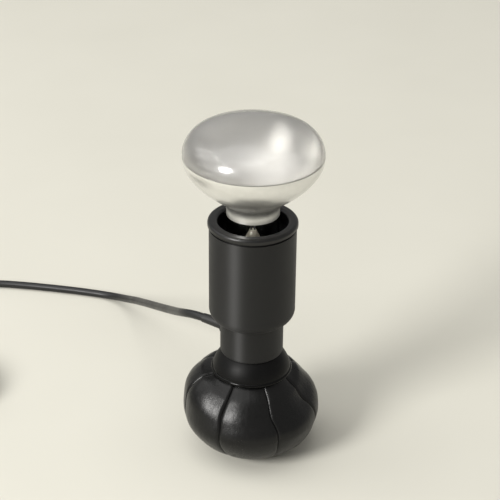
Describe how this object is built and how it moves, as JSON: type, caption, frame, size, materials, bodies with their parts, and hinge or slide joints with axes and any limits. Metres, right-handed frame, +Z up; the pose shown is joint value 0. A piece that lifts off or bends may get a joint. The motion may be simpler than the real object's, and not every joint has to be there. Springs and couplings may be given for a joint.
{
  "type": "table lamp with reflector bulb",
  "caption": "Small table lamp: a reflector bulb screwed in a black tube on a leather bag of lead shot that lets it lean, with cord, inline switch and plug.",
  "frame": {"origin": "middle of the bag's foot on the table", "axes": "+Z up the lamp, towards the bulb; the cord leaves at the back, towards +Y and -X"},
  "size_m": [0.2936, 0.2512, 0.2124],
  "materials": {
    "leather": "satin black nappa leather with fine grain",
    "lead_shot": "loose lead shot, shown as one mass",
    "zinc_steel": "zinc plated, never on show",
    "black_lacquer": "satin black lacquer",
    "rim_plastic": "polished black",
    "holder_plastic": "moulded black phenolic",
    "porcelain": "unglazed white",
    "brass": "plain",
    "wire_insulation": "brown and blue core insulation",
    "bulb_glass": "clear, lightly frosted on its dome",
    "silvering": "vacuum silvered inside the bowl",
    "cap_metal": "rolled thread, plain",
    "black_glass": "black glass insulator",
    "solder": "dull solder",
    "tungsten": "dark wire",
    "cord_vinyl": "satin black vinyl",
    "tie_strap": "woven black strap",
    "switch_plastic": "moulded black with a fine spark texture",
    "plug_plastic": "moulded black",
    "nickel": "nickel plated brass"
  },
  "bodies": {
    "bag": {"foot_disc": "leather", "leather_gore_1": "leather", "leather_gore_2": "leather", "leather_gore_3": "leather", "leather_gore_4": "leather", "leather_gore_5": "leather", "leather_gore_6": "leather", "leather_gore_7": "leather", "leather_gore_8": "leather", "cord_lead": "cord_vinyl", "cord_link": "cord_vinyl", "cord_coil": "cord_vinyl", "coil_tie": "tie_strap", "cord_tail": "cord_vinyl", "switch_base": "switch_plastic", "switch_cover": "switch_plastic", "switch_screws": "zinc_steel", "switch_contacts": "brass", "plug_body": "plug_plastic", "plug_pins": "nickel", "pin_sleeves": "plug_plastic"},
    "filling": {"shot_filling": "lead_shot", "cord_riser": "cord_vinyl"},
    "head": {"clamp_disc": "zinc_steel", "clamp_nut": "zinc_steel", "threaded_nipple": "zinc_steel", "bag_collar": "black_lacquer", "lower_tube": "black_lacquer", "floor_washer": "zinc_steel", "lock_nut": "zinc_steel", "housing": "black_lacquer", "rim_ring": "rim_plastic", "holder_base": "holder_plastic", "holder_body": "holder_plastic", "contact_block": "porcelain", "thread_sleeve": "brass", "centre_contact": "brass", "terminal_blocks": "brass", "terminal_screws": "zinc_steel", "inner_leads": "wire_insulation", "cord_gland": "holder_plastic", "gland_nut": "zinc_steel"},
    "bulb_tip": {"cap_tip": "solder"},
    "bulb": {"bulb_glass": "bulb_glass", "mirror_coating": "silvering", "bulb_cap": "cap_metal", "cap_insulator": "black_glass", "glass_stem": "bulb_glass", "support_wires": "tungsten", "filament": "tungsten"},
    "rocker": {"rocker": "switch_plastic"}
  },
  "joints": [
    {"name": "lean_fore_aft", "type": "hinge", "parent": "bag", "child": "filling", "pos_m": [0, 0, 0.02], "axis": [1, 0, 0], "range_deg": [-20, 20], "deforming": ["leather_gore_1", "leather_gore_2", "leather_gore_3", "leather_gore_4", "leather_gore_5", "leather_gore_6", "leather_gore_7", "leather_gore_8", "shot_filling", "cord_riser", "cord_lead"]},
    {"name": "lean_sideways", "type": "hinge", "parent": "filling", "child": "head", "pos_m": [0, 0, 0.02], "axis": [0, 1, 0], "range_deg": [-20, 20], "deforming": ["leather_gore_1", "leather_gore_2", "leather_gore_3", "leather_gore_4", "leather_gore_5", "leather_gore_6", "leather_gore_7", "leather_gore_8", "shot_filling", "cord_riser", "cord_lead"]},
    {"name": "bulb_rise", "type": "slide", "parent": "head", "child": "bulb_tip", "axis": [0, 0, 1], "range_m": [0, 0.01815]},
    {"name": "bulb_turn", "type": "hinge", "parent": "bulb_tip", "child": "bulb", "pos_m": [0, 0, 0.11], "axis": [0, 0, 1], "range_deg": [0, 1800]},
    {"name": "rocker_tilt", "type": "hinge", "parent": "bag", "child": "rocker", "pos_m": [-0.232, 0.112, 0.011], "axis": [-1, 0, 0], "range_deg": [0, 14]}
  ],
  "couplings": [
    {"joint": "bulb_rise", "follows": "bulb_turn", "m_per_rad": 0.00057757}
  ]
}
